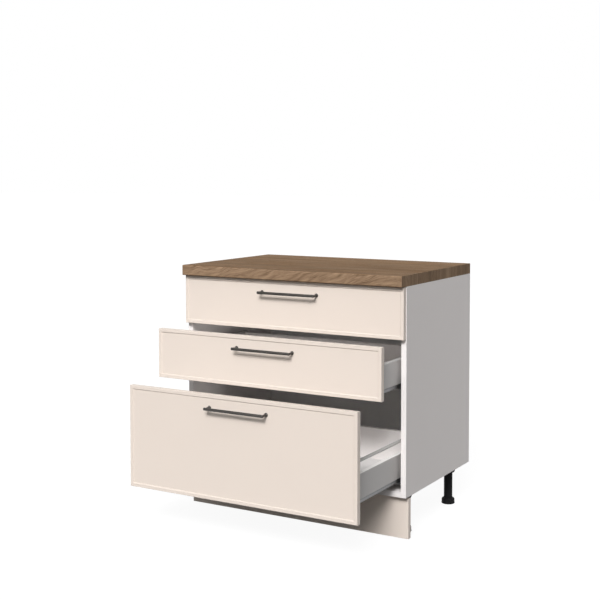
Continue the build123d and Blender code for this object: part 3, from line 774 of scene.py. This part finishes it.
black = {"rough": 0.6, "grain": 1300.0, "depth": 0.00005, "shine": 0.09, "dusty": 0.02}
white = {"rough": 0.4, "grain": 900.0, "depth": 0.00003, "shine": 0.4, "dusty": 0.08}
natural = {"rough": 0.42, "grain": 700.0, "depth": 0.00003, "shine": 0.4, "dusty": 0.0}
black_plastic, _ = moulded_plastic("black_plastic_moulded", screen_color(33, 33, 34), **black)
white_plastic, _ = moulded_plastic("white_plastic_moulded", screen_color(238, 237, 235), **white)
nylon, nylon_shader = moulded_plastic("natural_nylon", screen_color(232, 229, 220), **natural)
nylon_shader.inputs["Subsurface Weight"].default_value = 0.2
nylon_shader.inputs["Subsurface Scale"].default_value = 0.002
keep("black_plastic", black_plastic)
keep("white_plastic", white_plastic)
keep("nylon", nylon)

# %% [markdown]
# ## Giving the parts their finishes
#
# The imported parts arrive with plain materials that are named after their slots. Each slot of
# each part now gets the finish of that name. The two upright sides take the board that is raw
# underneath, the drawer bases the greyer board with its painted shade, and the sides of the
# lowest drawer the coating whose rims are painted near white, a painted highlight.

# %% Assign finishes
for part in parts.values():
    for holder in part.material_slots:
        holder.material = finishes[holder.material.name]
for name in ("side_panel_left", "side_panel_right"):
    parts[name].material_slots[0].material = side_board
# drawer bases: the greyer board, partly painted shade on the drawer floors
for number in (1, 2, 3):
    parts[f"drawer_{number}_base"].material_slots[0].material = drawer_board_partly_painted_shade
# lowest drawer's sides: the copy whose rims carry a painted highlight
for side in ("left", "right"):
    parts[f"drawer_3_side_{side}"].material_slots[0].material = steel_rim_painted_highlight
print("finishes on", sum(len(part.material_slots) for part in parts.values()), "slots")

# %% [markdown]
# ## Finer pieces
#
# The workshop model keeps screws, cams, feet and handles plain. Their real shapes are turned,
# fluted and slotted, and all are small, so each is made here as a mesh of its own that stands
# for the plain one. Turned shapes are rings of points along an axis, joined by faces. That is
# more direct than a lathe modifier, because flutes only need the radius to change with the
# angle. Slots and joints are cut with Blender's exact boolean.


# %% Turning a profile
def turned_shape(mesh, start, direction, profile, sides=32, flute=None):
    """Turn a profile of (way along the axis, radius) pairs into a closed shape."""
    axis = Vector(direction)
    across = axis.orthogonal().normalized()
    up = axis.cross(across)
    rings = []
    for way, radius in profile:
        ring = []
        for step in range(sides):
            angle = 2 * math.pi * step / sides
            reach = flute(way, angle, radius) if flute else radius
            spoke = across * math.cos(angle) + up * math.sin(angle)
            ring.append(mesh.verts.new(Vector(start) + axis * way + spoke * reach))
        rings.append(ring)
    for lower, upper in zip(rings, rings[1:]):
        for step in range(sides):
            after = (step + 1) % sides
            mesh.faces.new((lower[step], lower[after], upper[after], upper[step]))
    mesh.faces.new(list(reversed(rings[0])))
    mesh.faces.new(rings[-1])


crisp_from = math.radians(32)


def mesh_object(name, mesh):
    """An object from a mesh in the making, with smooth faces and crisp edges."""
    bmesh.ops.recalc_face_normals(mesh, faces=mesh.faces)
    for face in mesh.faces:
        face.smooth = True
    for edge in mesh.edges:
        edge.smooth = len(edge.link_faces) == 2 and edge.calc_face_angle() < crisp_from
    data = bpy.data.meshes.new(name)
    mesh.to_mesh(data)
    mesh.free()
    piece = bpy.data.objects.new(name, data)
    bpy.context.scene.collection.objects.link(piece)
    return piece


def combine(piece, tool, operation):
    """Join or cut a piece with a tool by an exact boolean, and remove the tool."""
    cut = piece.modifiers.new("combine", "BOOLEAN")
    cut.object = tool
    cut.operation = operation
    cut.solver = "EXACT"
    cut.use_self = True
    depsgraph = bpy.context.evaluated_depsgraph_get()
    result = bpy.data.meshes.new_from_object(piece.evaluated_get(depsgraph))
    piece.modifiers.clear()
    piece.data = result
    bpy.data.objects.remove(tool)
    return piece


def hand_over(piece, body, slot, *replaced):
    """Give a finished piece its material, its body and the parts that it stands for."""
    piece.data.materials.clear()
    piece.data.materials.append(finishes[slot])
    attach(piece, body)
    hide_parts(*replaced)
    print(piece.name, len(piece.data.polygons), "faces, rides on", body)


# %% [markdown]
# ### Handles
#
# Each handle is a slim round bar on two posts. The ends of the bar are slightly rounded over,
# and each post spreads into a small foot with a hollow curve where it stands on the front. The
# screw comes through the front from behind into a threaded hole in the post, which isn't seen.

# %% Handles
bar_radius = 0.005
bar_half = 0.117
post_radius = 0.00425


def rounded_bar(half, radius):
    """Profile of a bar whose two ends are turned to a small round."""
    end = [(0.0, radius - 0.0014), (0.0003, radius - 0.0007), (0.0008, radius - 0.0002)]
    end.append((0.0015, radius))
    other = [(2 * half - way, reach) for way, reach in reversed(end)]
    return end + other


for number in (1, 2, 3):
    low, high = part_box(f"drawer_{number}_handle")
    middle_z = (low.z + high.z) / 2
    bar_y = low.y + bar_radius
    foot_radius = (high.z - low.z) / 2
    mesh = bmesh.new()
    turned_shape(mesh, (-bar_half, bar_y, middle_z), (1, 0, 0), rounded_bar(bar_half, bar_radius))
    handle = mesh_object(f"handle_drawer_{number}", mesh)
    reach = high.y - bar_y
    post = [
        (0.0, foot_radius - 0.0002),
        (0.0002, foot_radius),
        (0.0012, foot_radius),
        (0.0018, foot_radius - 0.0004),
        (0.0024, foot_radius - 0.0012),
        (0.0034, post_radius + 0.0004),
        (0.0050, post_radius),
        (reach, post_radius - 0.0001),
    ]
    for side in (-1, 1):
        mesh = bmesh.new()
        post_x = side * (high.x - foot_radius)
        turned_shape(mesh, (post_x, high.y, middle_z), (0, -1, 0), post, 28)
        combine(handle, mesh_object("post", mesh), "UNION")
    hand_over(handle, f"drawer_{number}", "handle_metal", f"drawer_{number}_handle")

# %% [markdown]
# ### Screws
#
# All the screws are pan heads with a cross recess. One is modelled at the origin: a domed head,
# a shank with a tapered tip, and a cross cut into the head by two crossed wedges. It is then
# copied to every place, by adding its mesh to a larger one with the copy's own turn and place.

# %% One screw
head_radius = 0.004
shank_radius = 0.002
head_height = 0.0022


def cross_cutter(reach, half_width, depth, top):
    """Two crossed wedges, narrower at the bottom, that cut a cross recess from above."""
    mesh = bmesh.new()
    for along_x in (True, False):
        corners = []
        for height, share in ((top - depth, 0.45), (top + 0.001, 1.0)):
            for sx, sy in ((-1, -1), (1, -1), (1, 1), (-1, 1)):
                x = sx * (reach if along_x else half_width) * share
                y = sy * (half_width if along_x else reach) * share
                corners.append(mesh.verts.new((x, y, height)))
        lower, upper = corners[:4], corners[4:]
        mesh.faces.new(list(reversed(lower)))
        mesh.faces.new(upper)
        for step in range(4):
            after = (step + 1) % 4
            mesh.faces.new((lower[step], lower[after], upper[after], upper[step]))
    return mesh_object("cross_cutter", mesh)


def one_screw(shank_length):
    """A pan-head screw, its head's seat at the origin and its shank along minus Z."""
    mesh = bmesh.new()
    profile = [
        (-shank_length, 0.0005),
        (-shank_length + 0.003, shank_radius),
        (0.0, shank_radius),
        (0.0, head_radius - 0.0002),
        (0.0002, head_radius),
        (0.0008, head_radius),
        (0.0014, head_radius - 0.0004),
        (0.0019, head_radius - 0.0012),
        (head_height, head_radius - 0.0022),
    ]
    turned_shape(mesh, (0, 0, 0), (0, 0, 1), profile, 24)
    cross = cross_cutter(reach=0.0021, half_width=0.0005, depth=0.0015, top=head_height)
    return combine(mesh_object("screw", mesh), cross, "DIFFERENCE")


def copies_of(original, name, places):
    """One mesh with a copy of the original at each (point, direction of its Z axis)."""
    mesh = bmesh.new()
    for point, direction in places:
        turn = Vector(direction).to_track_quat("Z", "Y").to_matrix().to_4x4()
        turn.translation = Vector(point)
        first_new = len(mesh.verts)
        mesh.from_mesh(original.data)
        mesh.verts.ensure_lookup_table()
        bmesh.ops.transform(mesh, matrix=turn, verts=mesh.verts[first_new:])
    bpy.data.objects.remove(original)
    return mesh_object(name, mesh)


# %% Screws in the carcass, under the worktop and behind the handles
inner_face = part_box("side_panel_right")[0].x
rail_sheet = 0.0012
bracket_rise = 0.010
runner_screw_setbacks = (0.037, 0.453)
runner_screw_length = 0.013
seats = []
for number in (1, 2, 3):
    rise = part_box(f"drawer_{number}_side_right")[0].z + bracket_rise
    for setback in runner_screw_setbacks:
        for side in (-1, 1):
            point = (side * (inner_face - rail_sheet), carcass_front + setback, rise)
            seats.append((point, (-side, 0, 0)))
screws = copies_of(one_screw(runner_screw_length), "runner_screws", seats)
hand_over(screws, "cabinet", "zinc", "carcass_screws")

low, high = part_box("worktop_screws")
seats = []
for x in (low.x + head_radius, high.x - head_radius):
    for y in (low.y + head_radius, high.y - head_radius):
        seats.append(((x, y, low.z + head_height), (0, 0, -1)))
screws = copies_of(one_screw(high.z - low.z - head_height), "worktop_fixing_screws", seats)
hand_over(screws, "cabinet", "zinc", "worktop_screws")

for number in (1, 2, 3):
    low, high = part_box(f"drawer_{number}_handle_screws")
    seats = []
    for x in (low.x + head_radius, high.x - head_radius):
        seats.append(((x, high.y - head_height, (low.z + high.z) / 2), (0, 1, 0)))
    screw = one_screw(high.y - low.y - head_height)
    screws = copies_of(screw, f"handle_fixing_screws_{number}", seats)
    hand_over(screws, f"drawer_{number}", "zinc", f"drawer_{number}_handle_screws")

# %% [markdown]
# ### Cam fittings
#
# The boards are pulled together by cams: a round zinc housing in a pocket of the board's
# underside, which grips the head of a bolt in the side panel. From below each shows a disc with
# a raised rim and a cross for the screwdriver. Each row below is the depth and height of one
# pair, measured from the carcass front or the back panel.

# %% Cams and bolts
cam_radius = 0.0075
cam_height = 0.0135
cam_from_side = 0.024
half_board = 0.0095
back_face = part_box("back_panel")[0].y
bottom_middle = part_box("bottom_panel")[0].z + half_board
rail_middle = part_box("front_top_rail")[1].z - half_board
cam_rows = [
    (carcass_front + 0.050, bottom_middle),
    (back_face - 0.140, bottom_middle),
    (carcass_front + 0.035, rail_middle),
    (back_face - 0.035, rail_middle),
]
mesh = bmesh.new()
cam_profile = [
    (-cam_height, cam_radius - 0.0003),
    (-cam_height + 0.0003, cam_radius),
    (-0.0004, cam_radius),
    (0.0, cam_radius - 0.0004),
    (0.0, cam_radius - 0.0014),
    (-0.0006, cam_radius - 0.0018),
]
turned_shape(mesh, (0, 0, 0), (0, 0, 1), cam_profile, 36)
cross = cross_cutter(reach=0.0038, half_width=0.0009, depth=0.0025, top=-0.0006)
cam = combine(mesh_object("cam", mesh), cross, "DIFFERENCE")
cam_x = inner_face - cam_from_side
ends = [(side, y, z) for y, z in cam_rows for side in (-1, 1)]
seats = [((side * cam_x, y, z - half_board), (0, 0, -1)) for side, y, z in ends]
cams = copies_of(cam, "cam_housings_and_bolts", seats)
mesh = bmesh.new()
bolt_play = 0.0001
bolt = [
    (0.0, 0.0022),
    (0.0006, 0.0028),
    (0.0024, 0.0028),
    (0.0032, 0.0018),
    (0.0060, 0.0018),
    (0.0066, 0.0029),
    (0.0264, 0.0029),
    (0.0270, 0.0024),
]
for side, y, z in ends:
    start = side * (cam_x + cam_radius + bolt_play)
    turned_shape(mesh, (start, y, z), (side, 0, 0), bolt, 16)
mesh.from_mesh(cams.data)
bpy.data.objects.remove(cams)
cams = mesh_object("cam_housings_and_bolts", mesh)
hand_over(cams, "cabinet", "zinc", "cam_fittings")

# %% [markdown]
# ### Feet
#
# The cabinet is levelled by turning its four feet. Each has a broad foot plate and a fluted
# grip above it, and a stem that screws up into the leg. The flutes are a radius that dips
# twelve times round, between two heights. The plain rings below and above let them run out.

# %% Feet
flute_count = 12
flute_depth = 0.0012
grip_from, grip_to = 0.0055, 0.0165


def fluted(way, angle, radius):
    """Radius of the foot with its flutes, at a height and an angle."""
    if way < grip_from or way > grip_to:
        return radius
    dip = (1 - math.cos(flute_count * angle)) / 2
    return radius - flute_depth * dip**2


foot_profile = [
    (0.0012, 0.0140),
    (0.0, 0.0155),
    (0.0, 0.0232),
    (0.0008, 0.0244),
    (0.0018, 0.0250),
    (0.0042, 0.0250),
    (0.0050, 0.0246),
    (0.0055, 0.0244),
    (0.0110, 0.0244),
    (0.0165, 0.0242),
    (0.0180, 0.0236),
    (0.0202, 0.0218),
    (0.0216, 0.0196),
    (0.0220, 0.0170),
    (0.0220, 0.0120),
    (0.0810, 0.0120),
    (0.0820, 0.0110),
]
for corner in ("front_left", "front_right", "rear_left", "rear_right"):
    low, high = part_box(f"leg_foot_{corner}")
    middle = ((low.x + high.x) / 2, (low.y + high.y) / 2, 0.0)
    mesh = bmesh.new()
    turned_shape(mesh, middle, (0, 0, 1), foot_profile, 96, fluted)
    foot = mesh_object(f"foot_{corner}", mesh)
    hand_over(foot, f"foot_{corner}", "black_plastic", f"leg_foot_{corner}")

# %% [markdown]
# ## Floor, background and light
#
# The picture has a clean white ground. A white floor that is only lit would need so much light
# that the cabinet would burn out. Instead the floor's material asks what kind of ray has
# reached it: the camera and mirror-like reflections see a floor that glows almost white by
# itself, with a little ordinary white paint on top, so the cabinet still leaves a soft shadow.
# Every other ray meets a plain grey floor that throws a little light back up. The world does the
# same with the background: white to the eye, and for every other ray a dim room that is
# brighter overhead.


# %% Which rays see the white ground
def seen_directly(tree):
    """1 for rays that show the ground to the eye: from the camera, a reflection or glass."""
    path = add_node(tree, "LightPath")
    either = calc(tree, "MAXIMUM", path.outputs["Is Camera Ray"], path.outputs["Is Glossy Ray"])
    return calc(tree, "MAXIMUM", either, path.outputs["Is Transmission Ray"])


def even_color(value):
    """A grey of that strength as a colour."""
    return (value, value, value, 1.0)


def choose(tree, for_other_rays, for_the_eye):
    """Mix two shaders or backgrounds by the kind of ray."""
    choices = {0: seen_directly(tree), 1: for_other_rays, 2: for_the_eye}
    return add_node(tree, "MixShader", choices).outputs[0]


# %% Floor
glow_strength, thin_paint, floor_grey = 0.93, 0.12, 0.08
floor_half, floor_height = 40.0, -0.0002
material = bpy.data.materials.new("white_ground")
material.use_nodes = True
tree = material.node_tree
tree.nodes.clear()
glow = add_node(tree, "Emission", {"Color": even_color(1.0), "Strength": glow_strength})
paint = add_node(tree, "BsdfDiffuse", {"Color": even_color(thin_paint)})
seen = add_node(tree, "AddShader", {0: glow.outputs[0], 1: paint.outputs[0]})
plain = add_node(tree, "BsdfDiffuse", {"Color": even_color(floor_grey)})
add_node(tree, "OutputMaterial", {0: choose(tree, plain.outputs[0], seen.outputs[0])})

mesh = bmesh.new()
bmesh.ops.create_grid(mesh, x_segments=1, y_segments=1, size=floor_half)
floor = mesh_object("floor", mesh)
floor.location.z = floor_height
floor.data.materials.append(material)
print("floor", floor.dimensions.x, "m wide")

# %% World
room_low, room_overhead = 0.1, 0.32
world = bpy.data.worlds.new("white_studio")
world.use_nodes = True
tree = world.node_tree
tree.nodes.clear()
white_ground = add_node(tree, "Background", {"Color": even_color(1.0), "Strength": 1.0})
look = add_node(tree, "TexCoord").outputs["Generated"]
height = add_node(tree, "SeparateXYZ", {0: look}).outputs["Z"]
height = remap(tree, height, 0.0, 0.9)
room = blend_colors(tree, height, even_color(room_low), even_color(room_overhead))
room_light = add_node(tree, "Background", {"Color": room, "Strength": 1.0})
add_node(tree, "OutputWorld", {0: choose(tree, room_light.outputs[0], white_ground.outputs[0])})
bpy.context.scene.world = world
print("world", world.name)

# %% [markdown]
# ### Lamps
#
# The shadows in the picture give the key light. It stands in front of the cabinet, to its
# right, a little less than half way up the sky. It is wide, because the shadows on the fronts
# have soft borders: three lamps stand side by side, and each gives a third of it. A broad, weak
# lamp in the same quarter keeps the shade under the worktop open. Another stands low behind the
# cabinet, to its left, for whoever walks round it. All are sun lamps, because their light
# doesn't fall off over the cabinet. A strength of pi lights a white surface that faces the lamp
# to exactly white.


# %% Lamps
def sun_lamp(name, right_degrees, up_degrees, level, spread_degrees):
    """A sun lamp to the right of the front, that lights a surface facing it to that level."""
    right, up = math.radians(right_degrees), math.radians(up_degrees)
    across = math.cos(up)
    towards = Vector((math.sin(right) * across, -math.cos(right) * across, math.sin(up)))
    data = bpy.data.lights.new(name, "SUN")
    data.energy = level * math.pi
    data.angle = math.radians(spread_degrees)
    lamp = bpy.data.objects.new(name, data)
    lamp.rotation_mode = "QUATERNION"
    lamp.rotation_quaternion = towards.to_track_quat("Z", "Y")
    bpy.context.scene.collection.objects.link(lamp)
    print(name, "at", right_degrees, "degrees to the right and", up_degrees, "degrees up")


key_up, key_level, key_spread = 38.0, 0.312, 17.0
for place, right in (("left", 8.0), ("middle", 17.0), ("right", 26.0)):
    sun_lamp(f"key_lamp_{place}", right, key_up, key_level, key_spread)
sun_lamp("front_fill", 15.0, 36.0, level=0.16, spread_degrees=60.0)
sun_lamp("rear_fill", 245.0, 4.0, level=0.34, spread_degrees=30.0)
bpy.context.scene.view_settings.view_transform = "Standard"
